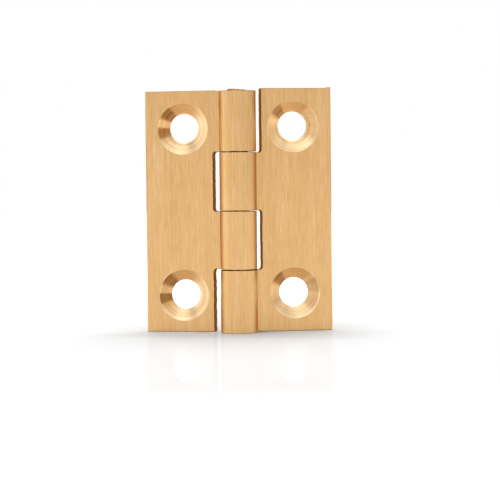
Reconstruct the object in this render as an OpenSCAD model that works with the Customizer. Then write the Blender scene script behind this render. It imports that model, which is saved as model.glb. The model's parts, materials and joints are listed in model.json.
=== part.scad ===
// Small solid drawn brass butt hinge.
// The pin's axis is the Z axis and the hinge stands on its lower end, at z = 0.
// The left leaf lies along -X with its back towards +Y, and the right leaf is turned about the pin.

/* [Leaves] */
// Length of the knuckle row and of the left leaf, along the pin
hinge_length = 25; // [20:0.1:60]
// Width of a leaf, from the pin's axis to its outer edge
leaf_width = 10; // [9.5:0.1:24]
// Thickness of both leaves
leaf_thickness = 1.25; // [1.15:0.05:1.6]
// Radius of the drawn strip's two outer corners
edge_radius = 0.1; // [0.05:0.01:0.3]
// How much longer the right leaf is cut, at its upper end
right_leaf_extra = 0.25; // [0:0.05:1]
// Opening angle as modelled: 0 is closed, 180 is flat, above 180 is folded back
open_angle = 203; // [0:1:285]

/* [Knuckles] */
// Number of knuckles, which the leaves carry in turn from the bottom, right leaf first
knuckle_count = 4; // [2:1:7]
// Outer diameter of the knuckles
knuckle_diameter = 3.8; // [3.4:0.1:4.6]
// How much longer the lowest knuckle is than the middle ones
bottom_knuckle_extra = 0.5; // [0:0.05:1.5]
// How much longer the top knuckle is than the middle ones
top_knuckle_extra = 0.4; // [0:0.05:1]
// Gap between one knuckle and the next, along the pin
knuckle_play = 0.12; // [0.06:0.02:0.3]
// Radius of the hollow neck between a leaf's face and its knuckles
neck_radius = 0.35; // [0.15:0.05:0.5]

/* [Notches] */
// Gap across the pin between the left leaf's notches and the right leaf's knuckles
left_notch_gap = 0.9; // [0.5:0.05:1.2]
// Gap across the pin between the right leaf's notches and the left leaf's knuckles
right_notch_gap = 0.7; // [0.5:0.05:1.2]
// Radius that the cutter leaves in the corners of a notch
notch_corner_radius = 0.3; // [0.1:0.05:0.6]

/* [Pin] */
// Diameter of the pin, which is a press fit in the left leaf's knuckles
pin_diameter = 1.9; // [1.4:0.1:2.4]
// Radial play of the pin in the right leaf's knuckles
pin_clearance = 0.04; // [0.02:0.01:0.1]
// How far the pin stands out of the top knuckle
pin_proud = 0.25; // [0.1:0.05:0.6]
// Height of the dome on the pin's upper end
pin_dome = 0.12; // [0.05:0.01:0.3]
// Chamfer on the pin's lower end
pin_chamfer = 0.15; // [0.05:0.05:0.3]

/* [Screw holes] */
// Diameter of the screw holes
hole_diameter = 3.05; // [2.8:0.05:3.6]
// Diameter of a countersink at the leaf's face
countersink_diameter = 5.2; // [4.5:0.1:5.4]
// Included angle of the countersinks
countersink_angle = 90; // [88:1:110]
// Distance from a leaf's outer edge to its screw holes' axes
hole_edge_inset = 3.9; // [3:0.1:4.2]
// Distance between the two screw holes of a leaf, along the pin
hole_pitch = 17.3; // [8:0.1:19]

/* [Hidden] */
$fn = 96;

knuckle_radius = knuckle_diameter / 2;
// The leaf's back is flush with the knuckle, so its face lies this far behind the pin's axis.
leaf_face = knuckle_radius - leaf_thickness;
// The strip is slotted at even steps, and the cut at each end leaves the end knuckles longer.
even_length = hinge_length - bottom_knuckle_extra - top_knuckle_extra;
knuckle_step = (even_length + knuckle_play) / knuckle_count;

pin_radius = pin_diameter / 2;
pin_length = hinge_length + pin_proud;
pin_dome_radius = (pin_radius * pin_radius + pin_dome * pin_dome) / (2 * pin_dome);

countersink_slope = tan(countersink_angle / 2);
countersink_depth = (countersink_diameter - hole_diameter) / 2 / countersink_slope;

// The neck's hollow touches the leaf's face and the knuckle, so its centre is set from both.
neck_centre_y = leaf_face - neck_radius;
neck_centre_x = sqrt(pow(knuckle_radius + neck_radius, 2) - pow(neck_centre_y, 2));

// Cutters run past the metal by this much.
overcut = 1;

// A leaf's hand is the number of the lowest knuckle that it carries.
RIGHT = 0;
LEFT = 1;

// Height of a knuckle's lower end, counted from the bottom
function knuckle_base(index) = index == 0 ? 0 : bottom_knuckle_extra + index * knuckle_step;

// One corner of the strip's outer edge, drawn as the metal that the rounding takes away
module edge_corner_waste() {
    difference() {
        translate([-edge_radius, -edge_radius])
            square(edge_radius + overcut);
        translate([-edge_radius, -edge_radius])
            circle(r = edge_radius);
    }
}

// Hollow neck, which blends the leaf's face into the knuckle
module neck_section() {
    difference() {
        polygon([
            [0, 0],
            [neck_centre_x, neck_centre_y],
            [neck_centre_x, leaf_face],
            [0, leaf_face]
        ]);
        translate([neck_centre_x, neck_centre_y])
            circle(r = neck_radius);
    }
}

// Section of the drawn strip, seen along the pin: the leaf, its knuckle and the neck between them
module strip_section() {
    circle(r = knuckle_radius);
    neck_section();
    difference() {
        translate([0, leaf_face])
            square([leaf_width, leaf_thickness]);
        translate([leaf_width, knuckle_radius])
            edge_corner_waste();
        translate([leaf_width, leaf_face])
            mirror([0, 1])
                edge_corner_waste();
    }
}

// Notch outline with its far corners rounded, as the cutter leaves them
module notch_outline(edge, low, high) {
    difference() {
        translate([-knuckle_radius - overcut, low])
            square([edge + knuckle_radius + overcut, high - low]);
        notch_corner(edge, low, 1);
        notch_corner(edge, high, -1);
    }
}

// What the cutter leaves standing in a corner; side is 1 at a notch's lower end, -1 at its upper end
module notch_corner(edge, height, side) {
    translate([edge - notch_corner_radius, height])
        mirror([0, side > 0 ? 0 : 1])
            difference() {
                translate([0, -overcut])
                    square(notch_corner_radius + overcut);
                translate([0, notch_corner_radius])
                    circle(r = notch_corner_radius);
                translate([-overcut, notch_corner_radius])
                    square([notch_corner_radius + 2 * overcut, overcut]);
            }
}

// Cutter that clears the room for one knuckle of the other leaf
module notch(edge, low, high) {
    rotate([90, 0, 0])
        linear_extrude(height = knuckle_diameter + 2 * overcut, center = true)
            notch_outline(edge, low, high);
}

// Notches for every knuckle that the leaf doesn't carry; those at the ends run out of the metal
module notches(hand, leaf_length, edge) {
    for (index = [1 - hand : 2 : knuckle_count - 1]) {
        is_first = index == 0;
        is_last = index == knuckle_count - 1;
        low = is_first ? -overcut - notch_corner_radius : knuckle_base(index) - knuckle_play;
        high = is_last ? leaf_length + overcut + notch_corner_radius : knuckle_base(index + 1);
        notch(edge, low, high);
    }
}

// Cutter for one screw hole with its countersink, sunk from the leaf's face
module screw_hole(height) {
    translate([leaf_width - hole_edge_inset, leaf_face, height])
        rotate([-90, 0, 0])
            translate([0, 0, -overcut]) {
                cylinder(d = hole_diameter, h = leaf_thickness + 2 * overcut);
                cylinder(
                    r1 = countersink_diameter / 2 + overcut * countersink_slope,
                    r2 = hole_diameter / 2,
                    h = countersink_depth + overcut
                );
            }
}

// One leaf along +X: drawn strip, notched, bored for the pin and drilled for its screws
module leaf(hand, leaf_length, notch_gap, bore_diameter) {
    difference() {
        linear_extrude(height = leaf_length)
            strip_section();
        notches(hand, leaf_length, knuckle_radius + notch_gap);
        translate([0, 0, -overcut])
            cylinder(d = bore_diameter, h = leaf_length + 2 * overcut);
        for (end = [-1, 1])
            screw_hole(leaf_length / 2 + end * hole_pitch / 2);
    }
}

module left_leaf() {
    color([0.89, 0.71, 0.48])
        mirror([1, 0, 0])
            leaf(LEFT, hinge_length, left_notch_gap, pin_diameter);
}

module right_leaf() {
    color([0.87, 0.69, 0.45])
        rotate([0, 0, open_angle - 180])
            leaf(
                RIGHT,
                hinge_length + right_leaf_extra,
                right_notch_gap,
                pin_diameter + 2 * pin_clearance
            );
}

// Headless pin, flush at its lower end, with its upper end peened to a low dome
module pin() {
    color([0.85, 0.66, 0.41])
        rotate_extrude() {
            polygon([
                [0, 0],
                [pin_radius - pin_chamfer, 0],
                [pin_radius, pin_chamfer],
                [pin_radius, hinge_length],
                [0, hinge_length]
            ]);
            intersection() {
                translate([0, hinge_length - overcut])
                    square([pin_radius, overcut + pin_proud]);
                translate([0, pin_length - pin_dome_radius])
                    circle(r = pin_dome_radius);
            }
        }
}

left_leaf();
right_leaf();
pin();
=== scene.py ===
"""Looks of a small solid drawn brass butt hinge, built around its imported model."""

import json
import logging
import math
import random
from dataclasses import dataclass
from enum import Enum

import bmesh
import bpy
from mathutils import Matrix, Vector


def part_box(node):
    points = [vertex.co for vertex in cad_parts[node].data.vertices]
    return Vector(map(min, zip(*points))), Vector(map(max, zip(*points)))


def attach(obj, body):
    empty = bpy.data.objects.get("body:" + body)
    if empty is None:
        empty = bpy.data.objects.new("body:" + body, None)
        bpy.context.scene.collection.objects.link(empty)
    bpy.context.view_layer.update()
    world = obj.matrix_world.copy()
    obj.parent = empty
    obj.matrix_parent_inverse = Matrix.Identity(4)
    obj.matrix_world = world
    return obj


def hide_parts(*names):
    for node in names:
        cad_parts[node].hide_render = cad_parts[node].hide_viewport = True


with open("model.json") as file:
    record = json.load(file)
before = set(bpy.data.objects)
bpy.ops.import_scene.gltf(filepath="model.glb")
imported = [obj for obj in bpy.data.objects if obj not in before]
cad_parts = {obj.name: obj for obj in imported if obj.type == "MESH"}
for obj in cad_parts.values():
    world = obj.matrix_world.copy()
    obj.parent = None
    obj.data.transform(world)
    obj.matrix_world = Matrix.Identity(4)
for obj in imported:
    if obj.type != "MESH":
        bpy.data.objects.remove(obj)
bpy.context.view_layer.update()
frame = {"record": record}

LOG = logging.getLogger("butt_hinge")
MM = 0.001
# How much the top knuckle and the pin's head are filed down, in millimetres
FILED = 0.12

Point = tuple[float, float]
Colour = tuple[float, float, float, float]


class Hand(Enum):
    """Which side of the pin a leaf lies on, seen from the front."""

    LEFT = "left"
    RIGHT = "right"


class Surface(Enum):
    """What a face of the hinge was finished by. The value is its material slot."""

    BRUSHED = 0
    SAWN = 1
    # Milled faces of the notches, joints and bores, whose darker colour is painted shade.
    MILLED_SHADED = 2
    LOWER_SINK = 3
    UPPER_SINK = 4
    # Rounded edges, whose dark colour is a painted shade line.
    EDGE = 5


def srgb(red: int, green: int, blue: int) -> Colour:
    """Turns a colour as a screen shows it into the renderer's linear colour.

    Args:
        red: Red from 0 to 255.
        green: Green from 0 to 255.
        blue: Blue from 0 to 255.

    Returns:
        The linear colour with an alpha of 1.
    """
    shares = [level / 255 for level in (red, green, blue)]
    linear = [s / 12.92 if s <= 0.04045 else ((s + 0.055) / 1.055) ** 2.4 for s in shares]
    return (linear[0], linear[1], linear[2], 1.0)


def arc(centre: Point, radius: float, start: float, end: float, steps: int) -> list[Point]:
    """Points along an arc, both ends included.

    Args:
        centre: The arc's centre.
        radius: Its radius.
        start: Angle of its first point, in degrees.
        end: Angle of its last point, in degrees.
        steps: How many straight steps stand for it.

    Returns:
        The points in order.
    """
    angles = [math.radians(start + (end - start) * i / steps) for i in range(steps + 1)]
    return [(centre[0] + radius * math.cos(a), centre[1] + radius * math.sin(a)) for a in angles]


class MeshWork:
    """Mesh steps that every piece shares. All of them work in millimetres."""

    @staticmethod
    def prism(outline: list[Point], low: float, high: float, name: str, side: Surface, end: Surface) -> bpy.types.Object:
        """Extrudes an outline in the XY plane along Z.

        Args:
            outline: The outline's corners, anticlockwise.
            low: Height of the lower end.
            high: Height of the upper end.
            name: Name of the new object.
            side: Finish of the faces round the outline.
            end: Finish of the two end faces.

        Returns:
            A closed mesh object.
        """
        mesh = bmesh.new()
        floor = [mesh.verts.new((x, y, low)) for x, y in outline]
        roof = [mesh.verts.new((x, y, high)) for x, y in outline]
        for ring in (list(reversed(floor)), roof):
            mesh.faces.new(ring).material_index = end.value
        count = len(outline)
        for i in range(count):
            j = (i + 1) % count
            mesh.faces.new((floor[i], floor[j], roof[j], roof[i])).material_index = side.value
        return MeshWork.to_object(mesh, name)

    @staticmethod
    def turned(profile: list[Point], steps: int, name: str, finish: Surface) -> bpy.types.Object:
        """Turns a profile about the Z axis.

        Args:
            profile: Pairs of radius and height, from the lower end to the upper end.
            steps: How many steps make a full turn.
            name: Name of the new object.
            finish: Finish of all its faces.

        Returns:
            A mesh object closed by a flat face at each end.
        """
        mesh = bmesh.new()
        rings = []
        for radius, height in profile:
            ring = []
            for i in range(steps):
                angle = 2 * math.pi * i / steps
                ring.append(mesh.verts.new((radius * math.cos(angle), radius * math.sin(angle), height)))
            rings.append(ring)
        for lower, upper in zip(rings, rings[1:]):
            for i in range(steps):
                j = (i + 1) % steps
                mesh.faces.new((lower[i], lower[j], upper[j], upper[i]))
        mesh.faces.new(list(reversed(rings[0])))
        mesh.faces.new(rings[-1])
        for face in mesh.faces:
            face.material_index = finish.value
        return MeshWork.to_object(mesh, name)

    @staticmethod
    def to_object(mesh: bmesh.types.BMesh, name: str) -> bpy.types.Object:
        """Makes an object of a finished mesh and puts it in the scene.

        Args:
            mesh: The mesh, which is freed.
            name: Name of the new object.

        Returns:
            The new object.
        """
        data = bpy.data.meshes.new(name)
        mesh.to_mesh(data)
        mesh.free()
        made = bpy.data.objects.new(name, data)
        bpy.context.scene.collection.objects.link(made)
        return made

    @staticmethod
    def dress(body: bpy.types.Object, materials: list[bpy.types.Material]) -> None:
        """Gives a mesh the materials that its faces point at.

        Args:
            body: The object.
            materials: One material for each slot, in order.
        """
        for material in materials:
            body.data.materials.append(material)

    @staticmethod
    def cut(body: bpy.types.Object, cutters: list[bpy.types.Object]) -> None:
        """Takes each cutter's volume out of a body and deletes the cutters.

        Args:
            body: The piece that is cut.
            cutters: Closed meshes with the same material slots.
        """
        for cutter in cutters:
            step = body.modifiers.new("cut", "BOOLEAN")
            step.operation = "DIFFERENCE"
            step.solver = "MANIFOLD"
            step.object = cutter
        MeshWork.bake(body)
        for cutter in cutters:
            bpy.data.meshes.remove(cutter.data)

    @staticmethod
    def tidy(body: bpy.types.Object) -> None:
        """Joins points that all but meet, and faces that lie in one plane with the same finish.

        Args:
            body: The piece, after its cuts.
        """
        mesh = bmesh.new()
        mesh.from_mesh(body.data)
        bmesh.ops.remove_doubles(mesh, verts=mesh.verts, dist=0.012)
        bmesh.ops.dissolve_degenerate(mesh, dist=0.004, edges=mesh.edges)
        bmesh.ops.dissolve_limit(
            mesh, angle_limit=math.radians(0.3), verts=mesh.verts, edges=mesh.edges, delimit={"MATERIAL"}
        )
        mesh.to_mesh(body.data)
        mesh.free()

    @staticmethod
    def soften(body: bpy.types.Object, width: float, angle: float, finish: Surface) -> None:
        """Rounds every edge that is sharper than an angle.

        Args:
            body: The piece.
            width: Width of the rounding.
            angle: Smallest angle between faces that counts as an edge, in degrees.
            finish: Finish of the rounding.
        """
        step = body.modifiers.new("soften", "BEVEL")
        step.width = width
        step.segments = 2
        step.limit_method = "ANGLE"
        step.angle_limit = math.radians(angle)
        step.use_clamp_overlap = False
        step.miter_outer = "MITER_ARC"
        step.material = finish.value
        MeshWork.bake(body)

    @staticmethod
    def bake(body: bpy.types.Object) -> None:
        """Applies an object's modifiers to its mesh.

        Args:
            body: The object.
        """
        graph = bpy.context.evaluated_depsgraph_get()
        baked = bpy.data.meshes.new_from_object(body.evaluated_get(graph))
        old = body.data
        body.modifiers.clear()
        body.data = baked
        baked.name = body.name
        bpy.data.meshes.remove(old)

    @staticmethod
    def place(body: bpy.types.Object, matrix: Matrix) -> None:
        """Moves a mesh into the row's frame and into metres, and shades it.

        Args:
            body: The piece.
            matrix: Its place in the row's frame, in millimetres. It may mirror the piece.
        """
        # A face square to the piece's own axes is flat metal, and all others belong to rounds.
        square = 0.99999
        for face in body.data.polygons:
            face.use_smooth = max(abs(part) for part in face.normal) < square
        body.data.transform(Matrix.Scale(MM, 4) @ matrix)
        if matrix.determinant() < 0:
            body.data.flip_normals()
        body.data.set_sharp_from_angle(angle=math.radians(50))
        MeshWork.part_finishes(body)
        step = body.modifiers.new("normals", "WEIGHTED_NORMAL")
        step.keep_sharp = True
        step.weight = 100


    @staticmethod
    def part_finishes(body: bpy.types.Object) -> None:
        """Keeps the shading of one finish from running into the next.

        Args:
            body: The piece.
        """
        mesh = bmesh.new()
        mesh.from_mesh(body.data)
        for edge in mesh.edges:
            if len({face.material_index for face in edge.link_faces}) > 1:
                edge.smooth = False
        mesh.to_mesh(body.data)
        mesh.free()


@dataclass(frozen=True)
class Strip:
    """Section of the drawn strip that both leaves are cut from, in millimetres."""

    knuckle_radius: float
    width: float
    thickness: float = 1.25
    neck_radius: float = 0.35
    corner_radius: float = 0.1
    knuckle_steps: int = 120

    @property
    def face(self) -> float:
        """How far the leaf's face lies behind the pin's axis."""
        return self.knuckle_radius - self.thickness

    def outline(self) -> list[Point]:
        """Draws the section with the leaf along +X and its back towards +Y.

        Returns:
            The outline's points, anticlockwise.
        """
        radius = self.knuckle_radius
        neck_y = self.face - self.neck_radius
        neck_x = math.sqrt((radius + self.neck_radius) ** 2 - neck_y**2)
        lean = math.degrees(math.atan2(neck_y, neck_x))
        corner_x = self.width - self.corner_radius
        points = arc((0, 0), radius, 90, 360 + lean, self.knuckle_steps)
        points += arc((neck_x, neck_y), self.neck_radius, 180 + lean, 90, 10)[1:]
        points += arc((corner_x, self.face + self.corner_radius), self.corner_radius, -90, 0, 4)
        points += arc((corner_x, radius - self.corner_radius), self.corner_radius, 0, 90, 4)
        return points


@dataclass(frozen=True)
class ScrewHole:
    """A countersunk hole, in millimetres."""

    radius: float
    sink_radius: float = 2.65
    sink_shift: Point = (-0.14, -0.07)
    tool_rings: int = 5
    ring_depth: float = 0.006

    def cutter(self, strip: Strip, along: float, height: float, finish: Surface) -> bpy.types.Object:
        """Makes the solid that the drill and the countersink take away.

        Args:
            strip: The strip that is drilled.
            along: Distance from the pin's axis to the hole's axis.
            height: Height of the hole's axis.
            finish: Finish of the walls that it leaves.

        Returns:
            The cutter, with its wide end in front of the leaf's face.
        """
        depth = self.sink_radius - self.radius
        past = 0.3
        profile = [(self.radius, -strip.thickness - 1.0), (self.radius, -depth)]
        steps = 6 * self.tool_rings
        for i in range(1, steps + 1):
            share = i / steps
            wobble = self.ring_depth * math.sin(2 * math.pi * self.tool_rings * share)
            profile.append((self.radius + share * depth + wobble, (share - 1) * depth))
        profile.append((self.sink_radius + past, past))
        made = MeshWork.turned(profile, 96, "hole_cutter", finish)
        for face in made.data.polygons:
            if face.center.z < -depth:
                face.material_index = Surface.MILLED_SHADED.value
        for vertex in made.data.vertices:
            share = max(0.0, 1 + vertex.co.z / depth)
            vertex.co.x += share * self.sink_shift[0]
            vertex.co.y += share * self.sink_shift[1]
        # The profile's height axis points out of the leaf's face, which is towards -Y.
        turn = Matrix.Rotation(math.radians(90), 4, "X")
        made.data.transform(Matrix.Translation((along, strip.face, height)) @ turn)
        return made


@dataclass(frozen=True)
class Knuckles:
    """How the row of knuckles is divided, in millimetres."""

    row_length: float
    count: int = 4
    play: float = 0.12
    bottom_extra: float = 0.5
    top_extra: float = 0.4

    def base(self, index: int) -> float:
        """Height of a knuckle's lower end, counted from the bottom."""
        even = self.row_length - self.bottom_extra - self.top_extra
        return 0.0 if index == 0 else self.bottom_extra + index * (even + self.play) / self.count

    def rooms(self, hand: Hand, length: float) -> list[Point]:
        """Works out the stretches of a leaf that are cleared for the other leaf's knuckles.

        Args:
            hand: The leaf's hand.
            length: The leaf's length.

        Returns:
            Pairs of lower and upper height; a stretch at an end runs out of the metal.
        """
        past = 1.0
        found = []
        for index in range(0 if hand is Hand.LEFT else 1, self.count, 2):
            low = -past if index == 0 else self.base(index) - self.play
            high = length + past if index == self.count - 1 else self.base(index + 1)
            found.append((low, high))
        return found


@dataclass
class Leaf:
    """One leaf with the knuckles it carries."""

    name: str
    node: str
    body: str
    hand: Hand
    strip: Strip
    knuckles: Knuckles
    length: float
    fold: float
    notch_gap: float
    bore_radius: float
    hole: ScrewHole
    hole_along: float
    hole_heights: list[float]
    corner_radius: float = 0.3
    tooth: float = 0.24
    jags: tuple[float, ...] = (0.03, 0.015)
    joint_burr: tuple[float, float] = (0.01, 0.04)
    filed: float = 0.0
    corner_burr: float = 0.0
    seed: int = 1

    @property
    def matrix(self) -> Matrix:
        """Place of the leaf's own frame, with the leaf along +X, in the row's frame."""
        if self.hand is Hand.LEFT:
            return Matrix.Scale(-1, 4, Vector((1, 0, 0)))
        return Matrix.Rotation(self.fold, 4, "Z")

    def ragged(self, start: Point, end: Point, least: float, most: float, rng: random.Random) -> list[Point]:
        """Points between the ends of a straight edge, pushed to its left by random amounts.

        Args:
            start: Where the edge starts.
            end: Where it ends.
            least: Smallest push, in millimetres.
            most: Largest push.
            rng: Source of the raggedness.

        Returns:
            The points, without the two ends.
        """
        run, rise = end[0] - start[0], end[1] - start[1]
        span = math.hypot(run, rise)
        count = int(span / self.tooth)
        points = []
        for i in range(1, count):
            share = (i + rng.uniform(-0.3, 0.3)) / count
            push = rng.uniform(least, most)
            points.append((start[0] + share * run - push * rise / span, start[1] + share * rise + push * run / span))
        return points

    def slab(self, outline: list[Point], name: str, finish: Surface) -> bpy.types.Object:
        """Makes a cutter that goes right through the leaf.

        Args:
            outline: Its outline, along the leaf and up the pin, anticlockwise.
            name: Name of the new object.
            finish: Finish of the walls that it leaves.

        Returns:
            The cutter in the leaf's own place.
        """
        reach = self.strip.knuckle_radius + 1.0
        made = MeshWork.prism(outline, -reach, reach, name, finish, finish)
        # The prism's own Z becomes -Y, and its Y becomes the height.
        made.data.transform(Matrix.Rotation(math.radians(90), 4, "X"))
        return made

    def notch_cutter(self, low: float, high: float, jag: float, rng: random.Random) -> bpy.types.Object:
        """Makes the cutter for one notch, with the ragged edges that a slitting saw leaves.

        Args:
            low: Height of the notch's lower end.
            high: Height of its upper end.
            jag: How far the far edge wanders.
            rng: Source of the raggedness.

        Returns:
            The cutter in the leaf's own place.
        """
        radius = self.corner_radius
        edge = self.strip.knuckle_radius + self.notch_gap
        near = -self.strip.knuckle_radius - 1.0
        corner = edge - radius
        points = [(near, low)]
        points += self.ragged((near, low), (corner, low), *self.joint_burr, rng)
        points += arc((corner, low + radius), radius, -90, 0, 6)
        points += self.ragged((edge, low + radius), (edge, high - radius), -jag, jag, rng)
        points += arc((corner, high - radius), radius, 0, 90, 6)
        points += self.ragged((corner, high), (near, high), *self.joint_burr, rng)
        points.append((near, high))
        return self.slab(points, "notch_cutter", Surface.MILLED_SHADED)

    def wear_cutters(self) -> list[bpy.types.Object]:
        """Makes the cutters for the filed top knuckle and the burr on the upper corner.

        Returns:
            The cutters, or none on a leaf without such marks.
        """
        width, top = self.strip.width, self.length
        near = -self.strip.knuckle_radius - 1.0
        cutters = []
        if self.filed:
            foot, crest = self.strip.knuckle_radius, self.strip.knuckle_radius + 0.7
            low = top - self.filed
            outline = [(near, low), (foot, low), (crest, top), (crest, top + 1.0), (near, top + 1.0)]
            cutters.append(self.slab(outline, "file_cutter", Surface.SAWN))
        if self.corner_burr:
            trim = 0.06
            foot, crest = width - self.corner_burr, width - 0.6 * self.corner_burr
            outline = [(near, top - trim), (foot, top - trim), (crest, top), (crest, top + 1.0), (near, top + 1.0)]
            cutters.append(self.slab(outline, "end_cutter", Surface.SAWN))
        return cutters

    def sort_edges(self, piece: bpy.types.Object) -> None:
        """Gives the roundings round a countersink that sink's finish, and gives those in the knuckles and along the
        top end the darker milled finish, which paints shade there.

        Args:
            piece: The leaf, still in its own place.
        """
        reach = self.hole.sink_radius + 0.3
        rim = 0.1
        sinks = (Surface.LOWER_SINK, Surface.UPPER_SINK)
        for face in piece.data.polygons:
            if face.material_index != Surface.EDGE.value:
                continue
            along, height = face.center.x, face.center.z
            if along < self.strip.knuckle_radius or height > self.length - rim:
                face.material_index = Surface.MILLED_SHADED.value
            for middle, finish in zip(self.hole_heights, sinks):
                if math.hypot(along - self.hole_along, height - middle) < reach:
                    face.material_index = finish.value

    def build(self, materials: list[bpy.types.Material]) -> bpy.types.Object:
        """Cuts the leaf out of its strip and puts it in its place.

        Args:
            materials: One material for each Surface, in order.

        Returns:
            The finished piece.
        """
        rng = random.Random(self.seed)
        piece = MeshWork.prism(
            self.strip.outline(), 0, self.length, self.name, Surface.BRUSHED, Surface.SAWN
        )
        rooms = self.knuckles.rooms(self.hand, self.length)
        cutters = [self.notch_cutter(low, high, jag, rng) for (low, high), jag in zip(rooms, self.jags)]
        cutters += self.wear_cutters()
        bore = [(self.bore_radius, -1.0), (self.bore_radius, self.length + 1.0)]
        cutters.append(MeshWork.turned(bore, 64, "bore_cutter", Surface.MILLED_SHADED))
        sinks = (Surface.LOWER_SINK, Surface.UPPER_SINK)
        for height, finish in zip(self.hole_heights, sinks):
            cutters.append(self.hole.cutter(self.strip, self.hole_along, height, finish))
        for made in [piece] + cutters:
            MeshWork.dress(made, materials)
        MeshWork.cut(piece, cutters)
        MeshWork.tidy(piece)
        MeshWork.soften(piece, 0.04, 40, Surface.EDGE)
        self.sort_edges(piece)
        MeshWork.place(piece, self.matrix)
        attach(piece, self.body)
        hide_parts(self.node)
        return piece


@dataclass
class Pin:
    """The headless pin."""

    name: str
    node: str
    body: str
    radius: float
    length: float
    dome: float = 0.12
    chamfer: float = 0.15
    head_height: float = 0.2
    head_lean: float = 0.12
    head_slope: float = 0.06

    def build(self, material: bpy.types.Material) -> bpy.types.Object:
        """Turns the pin with its chamfered lower end and its peened upper end.

        Args:
            material: The pin's finish.

        Returns:
            The finished piece.
        """
        profile = [(self.radius - self.chamfer, 0.0), (self.radius, self.chamfer)]
        shoulder = self.length - self.dome
        profile.append((self.radius, self.length - self.head_height))
        dome_steps = 10
        for i in range(dome_steps):
            angle = math.pi / 2 * i / dome_steps
            spread = 0.35 + 0.65 * math.cos(angle)
            profile.append((self.radius * spread, shoulder + self.dome * math.sin(angle)))
        piece = MeshWork.turned(profile, 96, self.name, Surface.BRUSHED)
        # The hammer drove the head to the left and left it sloping down to the right.
        for vertex in piece.data.vertices:
            share = min(1.0, max(0.0, 1 - (self.length - vertex.co.z) / self.head_height))
            vertex.co.z -= share * self.head_slope * (vertex.co.x + self.radius)
            vertex.co.x -= share * self.head_lean
        MeshWork.dress(piece, [material])
        MeshWork.place(piece, Matrix.Identity(4))
        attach(piece, self.body)
        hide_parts(self.node)
        return piece


class Graph:
    """Short calls for a node tree."""

    def __init__(self, owner: bpy.types.Material | bpy.types.World) -> None:
        """Starts on an owner whose nodes are cleared.

        Args:
            owner: The material or the world.
        """
        owner.use_nodes = True
        self.tree = owner.node_tree
        self.tree.nodes.clear()

    def node(self, kind: str, inputs: dict | None = None, **settings: object) -> bpy.types.Node:
        """Adds a node.

        Args:
            kind: The node's type name.
            inputs: Values or sockets by input name or number.
            settings: Properties of the node itself.

        Returns:
            The new node.
        """
        made = self.tree.nodes.new(kind)
        for key, value in settings.items():
            setattr(made, key, value)
        for key, value in (inputs or {}).items():
            if isinstance(value, bpy.types.NodeSocket):
                self.tree.links.new(value, made.inputs[key])
            else:
                made.inputs[key].default_value = value
        return made

    def math(self, operation: str, first: object, second: object = 0.0) -> bpy.types.NodeSocket:
        """Adds a sum on two numbers.

        Args:
            operation: Name of the operation, such as MULTIPLY.
            first: A number or a socket.
            second: A number or a socket.

        Returns:
            The result's socket.
        """
        return self.node("ShaderNodeMath", {0: first, 1: second}, operation=operation).outputs[0]

    def vector(self, operation: str, first: object, second: object = (0, 0, 0)) -> bpy.types.Node:
        """Adds a sum on two vectors.

        Args:
            operation: Name of the operation, such as CROSS_PRODUCT.
            first: A vector or a socket.
            second: A vector or a socket.

        Returns:
            The node, whose outputs are Vector and Value.
        """
        return self.node("ShaderNodeVectorMath", {0: first, 1: second}, operation=operation)

    def ramp(self, value: object, low: float, high: float, to_low: float = 0.0, to_high: float = 1.0) -> bpy.types.NodeSocket:
        """Maps a range of numbers onto another, held at its ends.

        Args:
            value: The number.
            low: Where the range starts.
            high: Where it ends.
            to_low: What its start becomes.
            to_high: What its end becomes.

        Returns:
            The result's socket.
        """
        inputs = {0: value, 1: low, 2: high, 3: to_low, 4: to_high}
        return self.node("ShaderNodeMapRange", inputs, interpolation_type="SMOOTHSTEP").outputs[0]

    def noise(self, place: object, detail: float = 2.0, roughness: float = 0.5) -> bpy.types.NodeSocket:
        """Adds a noise texture.

        Args:
            place: The vector that it reads, already scaled.
            detail: How many finer layers it has.
            roughness: How strong those are.

        Returns:
            The noise's socket, around 0.5.
        """
        inputs = {"Vector": place, "Scale": 1.0, "Detail": detail, "Roughness": roughness}
        return self.node("ShaderNodeTexNoise", inputs).outputs["Fac"]

    def colour(self, factor: object, first: object, second: object, blend: str = "MIX") -> bpy.types.NodeSocket:
        """Mixes two colours.

        Args:
            factor: How much of the second one.
            first: A colour or a socket.
            second: A colour or a socket.
            blend: Name of the blend.

        Returns:
            The result's socket.
        """
        inputs = {0: factor, 6: first, 7: second}
        return self.node("ShaderNodeMix", inputs, data_type="RGBA", blend_type=blend).outputs[2]

    def place_mm(self) -> bpy.types.NodeSocket:
        """Adds the object's own coordinates in millimetres and returns their socket."""
        place = self.node("ShaderNodeTexCoord").outputs["Object"]
        return self.vector("MULTIPLY", place, (1 / MM, 1 / MM, 1 / MM)).outputs[0]

    def stretched(self, place: object, across: float, along: float) -> bpy.types.NodeSocket:
        """Scales a place for marks that run along the pin.

        Args:
            place: The place in millimetres.
            across: How many marks fit in a millimetre across the pin.
            along: How many fit in a millimetre along it.

        Returns:
            The scaled vector's socket.
        """
        return self.vector("MULTIPLY", place, (across, across, along)).outputs[0]

    def seen_by_mirrors(self) -> bpy.types.NodeSocket:
        """Adds a switch that is 1 for reflected and refracted rays and returns its socket."""
        rays = self.node("ShaderNodeLightPath").outputs
        return self.math("MAXIMUM", rays["Is Glossy Ray"], rays["Is Transmission Ray"])


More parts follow.
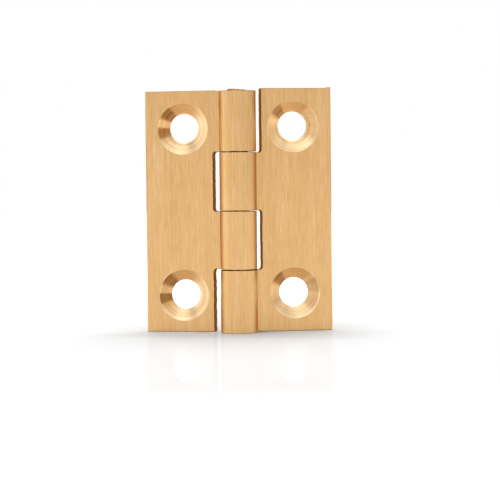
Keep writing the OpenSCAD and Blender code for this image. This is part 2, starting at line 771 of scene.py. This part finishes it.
@dataclass(frozen=True)
class BrushedBrass:
    """Satin brass, brushed along the pin: faces, backs, outer edges and knuckles."""

    light: Colour = srgb(222, 183, 134)
    middle: Colour = srgb(210, 168, 114)
    deep: Colour = srgb(199, 155, 101)
    speck: Colour = srgb(130, 94, 52)
    grazing: Colour = srgb(212, 178, 138)
    roughness: float = 0.33
    anisotropy: float = 0.55

    def material(self, name: str) -> bpy.types.Material:
        """Makes the finish.

        Args:
            name: Name of the material.

        Returns:
            The material.
        """
        material = bpy.data.materials.new(name)
        g = Graph(material)
        place = g.place_mm()
        hairs = g.noise(g.stretched(place, 15.0, 0.6), 2.0, 0.6)
        streaks = g.noise(g.stretched(place, 7.0, 0.14), 2.0, 0.6)
        bands = g.noise(g.stretched(place, 0.9, 0.07), 1.0, 0.5)
        clouds = g.noise(g.stretched(place, 0.5, 0.5), 3.0, 0.6)
        mixed = g.math("ADD", g.math("MULTIPLY", hairs, 0.5), g.math("MULTIPLY", streaks, 0.28))
        mixed = g.math("ADD", mixed, g.math("MULTIPLY", bands, 0.14))
        mixed = g.math("ADD", mixed, g.math("MULTIPLY", clouds, 0.08))
        base = g.colour(g.ramp(mixed, 0.36, 0.52), self.deep, self.middle)
        base = g.colour(g.ramp(mixed, 0.5, 0.66), base, self.light)
        dots = g.noise(g.stretched(place, 3.1, 2.3), 3.0, 0.65)
        base = g.colour(g.ramp(dots, 0.71, 0.78), base, self.speck)

        normal = g.node("ShaderNodeNewGeometry").outputs["Normal"]
        sideways = g.vector("CROSS_PRODUCT", (0, 0, 1), normal).outputs[0]
        relief = g.math("ADD", hairs, streaks)
        bump = g.node("ShaderNodeBump", {"Strength": 0.35, "Distance": 0.006 * MM, "Height": relief}).outputs[0]
        rough = g.ramp(streaks, 0.3, 0.7, self.roughness - 0.05, self.roughness + 0.06)
        inputs = {
            "Base Color": base,
            "Metallic": 1.0,
            "Roughness": rough,
            "Specular Tint": self.grazing,
            "Anisotropic": self.anisotropy,
            "Tangent": sideways,
            "Normal": bump,
        }
        shader = g.node("ShaderNodeBsdfPrincipled", inputs)
        g.node("ShaderNodeOutputMaterial", {0: shader.outputs[0]})
        return material


@dataclass(frozen=True)
class PaintedLightSector:
    """A sector of a countersink with painted shade or a painted highlight, placed as seen from the front."""

    turn: float
    spread: float
    strength: float
    is_bright: bool = False


@dataclass(frozen=True)
class TurnedBrass:
    """Countersink wall with the rings of the tool, with a painted highlight on its lower side and painted shade on
    its upper side.
    """

    # Colour of the painted highlight on the lower side and in the highlighted sectors.
    painted_highlight: Colour = srgb(255, 232, 188)
    # Colour of the painted shade on the upper side.
    painted_shade_tone: Colour = srgb(200, 157, 106)
    ring: Colour = srgb(214, 166, 106)
    # Colour of the painted shade in the dark sectors.
    painted_dark_tone: Colour = srgb(104, 60, 18)
    grazing: Colour = srgb(255, 244, 225)
    # Where the painted highlight is centred, in degrees round the hole.
    painted_light_turn: float = -57.0
    roughness: float = 0.36
    anisotropy: float = 0.4

    def material(self, name: str, centre: Vector, axis: Vector, painted_sectors: tuple[PaintedLightSector, ...]) -> bpy.types.Material:
        """Makes the finish of one hole.

        Args:
            name: Name of the material.
            centre: A point on the hole's axis, in millimetres.
            axis: Direction of the hole's axis, out of the leaf's face.
            painted_sectors: The hole's sectors of painted shade and painted highlight.

        Returns:
            The material.
        """
        material = bpy.data.materials.new(name)
        g = Graph(material)
        up = Vector((0, 0, 1))
        side = up.cross(axis).normalized()
        offset = g.vector("SUBTRACT", g.place_mm(), tuple(centre)).outputs[0]
        rise = g.vector("DOT_PRODUCT", offset, tuple(up)).outputs[1]
        run = g.vector("DOT_PRODUCT", offset, tuple(side)).outputs[1]
        flat = g.node("ShaderNodeCombineXYZ", {0: run, 1: rise}).outputs[0]
        reach = g.vector("LENGTH", flat).outputs[1]
        unit = g.vector("NORMALIZE", flat).outputs[0]
        around = g.vector("MULTIPLY", unit, (1.6, 1.6, 1.6)).outputs[0]

        ring_place = g.node("ShaderNodeCombineXYZ", {0: g.math("MULTIPLY", reach, 4.2), 1: centre.z}).outputs[0]
        rings = g.noise(ring_place, 2.0, 0.6)
        wobble = g.noise(g.vector("ADD", around, (centre.z, 0, centre.x)).outputs[0], 2.0, 0.5)
        # Painted light: lighter towards the lower side and darker opposite, as the lamps light it, with noise
        # wobbling its edge.
        lit = self.towards(g, unit, self.painted_light_turn)
        lit = g.math("ADD", lit, g.math("MULTIPLY", g.math("SUBTRACT", wobble, 0.5), 0.8))
        base = g.colour(g.ramp(lit, -0.65, 0.4), self.painted_shade_tone, self.painted_highlight)
        base = g.colour(g.ramp(rings, 0.5, 0.62, 0.0, 0.5), base, self.ring)
        # Sectors of painted shade or painted highlight.
        for painted_sector in painted_sectors:
            edge = math.cos(math.radians(painted_sector.spread))
            close = self.towards(g, unit, painted_sector.turn)
            share = g.ramp(close, edge, edge + (1 - edge) * 0.8, 0.0, painted_sector.strength)
            tone = self.painted_highlight if painted_sector.is_bright else self.painted_dark_tone
            base = g.colour(g.math("MULTIPLY", share, g.ramp(rings, 0.3, 0.6, 1.0, 0.6)), base, tone)

        along = g.vector("DOT_PRODUCT", offset, tuple(axis)).outputs[1]
        shift = g.node("ShaderNodeVectorMath", {0: tuple(axis), "Scale": along}, operation="SCALE").outputs[0]
        radial = g.vector("SUBTRACT", offset, shift).outputs[0]
        settings = {"vector_type": "VECTOR", "convert_from": "OBJECT", "convert_to": "WORLD"}
        radial = g.node("ShaderNodeVectorTransform", {0: radial}, **settings).outputs[0]
        bump = g.node("ShaderNodeBump", {"Strength": 0.5, "Distance": 0.015 * MM, "Height": rings}).outputs[0]
        inputs = {
            "Base Color": base,
            "Metallic": 1.0,
            "Roughness": self.roughness,
            "Specular Tint": self.grazing,
            "Anisotropic": self.anisotropy,
            "Tangent": radial,
            "Normal": bump,
        }
        shader = g.node("ShaderNodeBsdfPrincipled", inputs)
        g.node("ShaderNodeOutputMaterial", {0: shader.outputs[0]})
        return material

    @staticmethod
    def towards(g: Graph, unit: bpy.types.NodeSocket, turn: float) -> bpy.types.NodeSocket:
        """Adds a measure of how near a place lies to a direction round the hole.

        Args:
            g: The node tree.
            unit: Direction of the place from the hole's axis.
            turn: The direction, in degrees from the right, anticlockwise as seen from the front.

        Returns:
            A socket that runs from 1 at the direction to -1 opposite it.
        """
        angle = math.radians(turn)
        return g.vector("DOT_PRODUCT", unit, (math.cos(angle), math.sin(angle), 0)).outputs[1]


@dataclass(frozen=True)
class RawBrass:
    """Brass as a cutter leaves it: matte and scratched one way, in two given tones. The darker tones given for milled
    walls and edge roundings are painted shade.
    """

    light: Colour
    deep: Colour
    grazing: Colour
    roughness: float
    marks_across: float
    marks_along: float

    def material(self, name: str) -> bpy.types.Material:
        """Makes the finish.

        Args:
            name: Name of the material.

        Returns:
            The material.
        """
        material = bpy.data.materials.new(name)
        g = Graph(material)
        place = g.place_mm()
        marks = g.noise(g.stretched(place, self.marks_across, self.marks_along), 3.0, 0.6)
        base = g.colour(g.ramp(marks, 0.35, 0.65), self.deep, self.light)
        bump = g.node("ShaderNodeBump", {"Strength": 0.4, "Distance": 0.01 * MM, "Height": marks}).outputs[0]
        inputs = {
            "Base Color": base,
            "Metallic": 1.0,
            "Roughness": self.roughness,
            "Specular Tint": self.grazing,
            "Normal": bump,
        }
        shader = g.node("ShaderNodeBsdfPrincipled", inputs)
        g.node("ShaderNodeOutputMaterial", {0: shader.outputs[0]})
        return material


@dataclass(frozen=True)
class Viewpoint:
    """The camera, placed as the photograph's was."""

    distance: float = 203.6 * MM
    azimuth: float = 12.4
    elevation: float = 2.0
    roll: float = 0.62
    aim_across: float = 1.157 * MM
    aim_up: float = 8.5 * MM
    focal_px: float = 1976.0
    frame_px: float = 500.0
    sensor_mm: float = 36.0

    def build(self) -> bpy.types.Object:
        """Makes the camera and hands it to the scene.

        Returns:
            The camera.
        """
        data = bpy.data.cameras.new("camera")
        data.sensor_width = self.sensor_mm
        data.lens = self.sensor_mm * self.focal_px / self.frame_px
        data.clip_start = 0.01
        data.clip_end = 10.0
        turn, rise = math.radians(self.azimuth), math.radians(self.elevation)
        back = Vector((math.sin(turn) * math.cos(rise), -math.cos(turn) * math.cos(rise), math.sin(rise)))
        across = Vector((math.cos(turn), math.sin(turn), 0))
        aim = across * self.aim_across + Vector((0, 0, self.aim_up))
        camera = bpy.data.objects.new("camera", data)
        camera.rotation_mode = "QUATERNION"
        camera.location = aim + back * self.distance
        roll = Matrix.Rotation(-math.radians(self.roll), 3, "Z").to_quaternion()
        camera.rotation_quaternion = (-back).to_track_quat("-Z", "Y") @ roll
        bpy.context.scene.collection.objects.link(camera)
        bpy.context.scene.camera = camera
        return camera


@dataclass(frozen=True)
class Lamp:
    """A soft square lamp, given by where it stands as seen from the hinge."""

    name: str
    azimuth: float
    elevation: float
    distance: float
    size: float
    radiance: float

    def build(self) -> bpy.types.Object:
        """Makes the lamp, turned to the middle of the hinge.

        Returns:
            The lamp.
        """
        data = bpy.data.lights.new(self.name, "AREA")
        data.size = self.size
        data.energy = self.radiance * math.pi * self.size**2
        turn, rise = math.radians(self.azimuth), math.radians(self.elevation)
        away = Vector((math.sin(turn) * math.cos(rise), -math.cos(turn) * math.cos(rise), math.sin(rise)))
        made = bpy.data.objects.new(self.name, data)
        made.location = Vector((0, 0, 12.5 * MM)) + away * self.distance
        made.rotation_mode = "QUATERNION"
        made.rotation_quaternion = (-away).to_track_quat("-Z", "Y")
        bpy.context.scene.collection.objects.link(made)
        return made


@dataclass(frozen=True)
class Studio:
    """White floor, soft lamps and a white surround that falls off on the hinge's right."""

    floor_size: float = 1.6
    surround: float = 0.75
    shade_towards: tuple[float, float, float] = (0.98, -0.1, 0.1)
    shade: float = 0.06
    near_glow: float = 0.075
    near_start: float = 3.5 * MM
    near_end: float = 10 * MM
    half_width: float = 8 * MM
    far_glow: float = 0.7
    mirror_glow: float = 0.46
    glow_start: float = 52 * MM
    glow_end: float = 110 * MM
    gloss: float = 0.11
    gloss_reach: float = 130 * MM

    def floor_material(self) -> bpy.types.Material:
        """Makes the white floor, which keeps the shadow and a faint reflection near the hinge.

        Returns:
            The material.
        """
        material = bpy.data.materials.new("white_floor")
        g = Graph(material)
        place = g.node("ShaderNodeTexCoord").outputs["Object"]
        ahead = g.node("ShaderNodeSeparateXYZ", {0: place}).outputs[1]
        share = g.ramp(ahead, -self.gloss_reach, 0.0, 0.0, self.gloss)
        matte = g.node("ShaderNodeBsdfDiffuse", {"Color": (0.8, 0.8, 0.8, 1)})
        mirror = g.node("ShaderNodeBsdfGlossy", {"Color": (1, 1, 1, 1), "Roughness": 0.02})
        away = g.vector("LENGTH", place).outputs[1]
        clear = g.math("MAXIMUM", g.math("MULTIPLY", ahead, -1.0), g.math("SUBTRACT", away, self.half_width))
        near = g.ramp(clear, self.near_start, self.near_end, 0.0, self.near_glow)
        far = g.ramp(away, self.glow_start, self.glow_end, 0.0, self.far_glow)
        strength = g.math("ADD", near, far)
        mirrored = g.math("MULTIPLY", g.seen_by_mirrors(), self.mirror_glow)
        strength = g.math("MAXIMUM", strength, mirrored)
        glow = g.node("ShaderNodeEmission", {"Color": (1, 1, 1, 1), "Strength": strength})
        seen = g.math("MAXIMUM", g.node("ShaderNodeLightPath").outputs["Is Camera Ray"], g.seen_by_mirrors())
        lit = g.node("ShaderNodeAddShader", {0: matte.outputs[0], 1: glow.outputs[0]})
        plain = g.node("ShaderNodeMixShader", {0: seen, 1: matte.outputs[0], 2: lit.outputs[0]})
        mixed = g.node("ShaderNodeMixShader", {0: share, 1: plain.outputs[0], 2: mirror.outputs[0]})
        g.node("ShaderNodeOutputMaterial", {0: mixed.outputs[0]})
        return material

    def build_floor(self) -> None:
        """Lays the floor under the hinge."""
        half = self.floor_size / 2
        mesh = bmesh.new()
        corners = [mesh.verts.new((x, y, 0)) for x, y in ((-half, -half), (half, -half), (half, half), (-half, half))]
        mesh.faces.new(corners)
        floor = MeshWork.to_object(mesh, "floor")
        floor.data.materials.append(self.floor_material())

    def build_surround(self) -> None:
        """Makes the white surround: full white behind the hinge, less on its right for mirrors."""
        world = bpy.data.worlds.new("surround")
        bpy.context.scene.world = world
        g = Graph(world)
        towards = g.node("ShaderNodeTexCoord").outputs["Generated"]
        toward_shade = Vector(self.shade_towards).normalized()
        closeness = g.vector("DOT_PRODUCT", towards, tuple(toward_shade)).outputs[1]
        rays = g.node("ShaderNodeLightPath").outputs
        # Light that the hinge would throw back on the floor is left out, which keeps the floor's shadow.
        direct = g.math("LESS_THAN", rays["Diffuse Depth"], 0.5)
        mirrored = g.math("MULTIPLY", g.ramp(closeness, 0.5, 0.95, 1.0, 1.0 - self.shade), direct)
        mirrors = g.seen_by_mirrors()
        plain = g.math("MULTIPLY", g.math("SUBTRACT", 1.0, mirrors), self.surround)
        strength = g.math("ADD", plain, g.math("MULTIPLY", mirrors, mirrored))
        strength = g.math("MAXIMUM", strength, rays["Is Camera Ray"])
        light = g.node("ShaderNodeBackground", {"Color": (1, 1, 1, 1), "Strength": strength})
        g.node("ShaderNodeOutputWorld", {0: light.outputs[0]})

    def build(self) -> None:
        """Makes the floor, the surround and the lamps."""
        self.build_floor()
        self.build_surround()
        Lamp("left_box", -86.0, 16.0, 0.34, 0.3, 0.5).build()
        Lamp("back_box", 185.0, 58.0, 0.36, 0.3, 2.4).build()
        Lamp("top_box", -25.0, 66.0, 0.34, 0.26, 0.8).build()
        bpy.context.scene.view_settings.view_transform = "Standard"


def in_mm(vector: Vector) -> Vector:
    """Turns a place in metres into millimetres."""
    return Vector(vector) / MM


# Sectors of painted shade and painted highlight in each countersink: turn, spread, strength, and whether it is a
# highlight.
PAINTED_SECTORS = {
    (Hand.LEFT, "lower"): (
        PaintedLightSector(134, 20, 0.8),
        PaintedLightSector(166, 13, 0.8, True),
        PaintedLightSector(190, 16, 0.65),
        PaintedLightSector(-92, 42, 0.24),
    ),
    (Hand.LEFT, "upper"): (
        PaintedLightSector(136, 20, 0.8),
        PaintedLightSector(167, 13, 0.8, True),
        PaintedLightSector(193, 17, 0.55),
        PaintedLightSector(-92, 42, 0.24),
    ),
    (Hand.RIGHT, "lower"): (
        PaintedLightSector(138, 18, 0.8),
        PaintedLightSector(178, 26, 0.5, True),
        PaintedLightSector(20, 26, 0.4),
        PaintedLightSector(-92, 42, 0.28),
    ),
    (Hand.RIGHT, "upper"): (
        PaintedLightSector(136, 18, 0.75),
        PaintedLightSector(180, 30, 0.6, True),
        PaintedLightSector(20, 30, 0.25),
        PaintedLightSector(-92, 42, 0.24),
    ),
}


def finishes_for(leaf: Leaf) -> list[bpy.types.Material]:
    """Makes the materials of a leaf, one for each Surface.

    Args:
        leaf: The leaf.

    Returns:
        The materials in the order of Surface.
    """
    axis = (leaf.matrix.to_3x3() @ Vector((0, -1, 0))).normalized()
    sinks = []
    for label, height in zip(("lower", "upper"), leaf.hole_heights):
        centre = leaf.matrix @ Vector((leaf.hole_along, 0, height))
        name = f"{leaf.name}_{label}_sink"
        sinks.append(TurnedBrass().material(name, centre, axis, PAINTED_SECTORS[leaf.hand, label]))
    sawn = RawBrass(srgb(210, 168, 114), srgb(190, 147, 95), srgb(180, 140, 96), 0.45, 9.0, 9.0)
    # Milled brass, darkened as painted shade for the notch walls, joints and bores.
    milled_shaded = RawBrass(srgb(176, 134, 84), srgb(112, 78, 42), srgb(140, 106, 66), 0.55, 14.0, 3.0)
    # Dark brown roundings: a painted shade line along the edges.
    edge = RawBrass(srgb(138, 104, 64), srgb(84, 58, 32), srgb(90, 62, 34), 0.4, 6.0, 1.5)
    return [
        BrushedBrass().material(leaf.name + "_brushed"),
        sawn.material(leaf.name + "_sawn"),
        milled_shaded.material(leaf.name + "_milled"),
        *sinks,
        edge.material(leaf.name + "_edge"),
    ]


def build_leaves(mounts: dict[str, dict]) -> list[bpy.types.Object]:
    """Builds both leaves from the sizes that the frame gives.

    Args:
        mounts: The record's mounts by name.

    Returns:
        The two pieces.
    """
    left_low, left_high = (in_mm(corner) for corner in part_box("left_leaf"))
    right_length = in_mm(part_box("right_leaf")[1]).z
    pin_radius = in_mm(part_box("pin")[1]).x
    left_screws = mounts["left_screws"]
    left_centre = in_mm(left_screws["pos_m"])
    half_pitch = left_screws["dims"]["spacing_y_mm"] / 2
    right_axis = mounts["right_lower_screw"]["axis"]
    shared = {
        "strip": Strip(knuckle_radius=left_high.y, width=-left_low.x),
        "knuckles": Knuckles(row_length=left_high.z),
        "hole": ScrewHole(radius=left_screws["dims"]["hole_r_mm"]),
        "hole_along": -left_centre.x,
    }
    left = Leaf(
        name="left_leaf_finished",
        node="left_leaf",
        body="left_leaf_and_pin",
        hand=Hand.LEFT,
        length=left_high.z,
        fold=0.0,
        notch_gap=0.9,
        bore_radius=pin_radius,
        hole_heights=[left_centre.z - half_pitch, left_centre.z + half_pitch],
        jags=(0.035, 0.02),
        filed=FILED,
        seed=11,
        **shared,
    )
    right = Leaf(
        name="right_leaf_finished",
        node="right_leaf",
        body="right_leaf",
        hand=Hand.RIGHT,
        length=right_length,
        fold=math.atan2(right_axis[0], -right_axis[1]),
        notch_gap=0.7,
        bore_radius=pin_radius + 0.04,
        hole_heights=[in_mm(mounts[f"right_{end}_screw"]["pos_m"]).z for end in ("lower", "upper")],
        jags=(0.02, 0.015),
        corner_burr=0.6,
        seed=23,
        **shared,
    )
    return [leaf.build(finishes_for(leaf)) for leaf in (left, right)]


def build_pin() -> bpy.types.Object:
    """Builds the pin from its size in the frame.

    Returns:
        The pin.
    """
    high = in_mm(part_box("pin")[1])
    peened = RawBrass(srgb(192, 148, 92), srgb(162, 118, 68), srgb(120, 84, 46), 0.38, 5.0, 5.0)
    made = Pin("pin_finished", "pin", "left_leaf_and_pin", high.x, high.z - FILED)
    return made.build(peened.material("pin_peened"))


def main() -> None:
    """Builds the hinge, its finishes and the studio, and reports each piece."""
    logging.basicConfig(level=logging.INFO, format="%(name)s: %(message)s")
    mounts = {mount["name"]: mount for mount in frame["record"]["mounts"]}
    for piece in build_leaves(mounts) + [build_pin()]:
        LOG.info("%s: %d faces", piece.name, len(piece.data.polygons))
    Viewpoint().build()
    Studio().build()


if __name__ == "__main__":
    main()
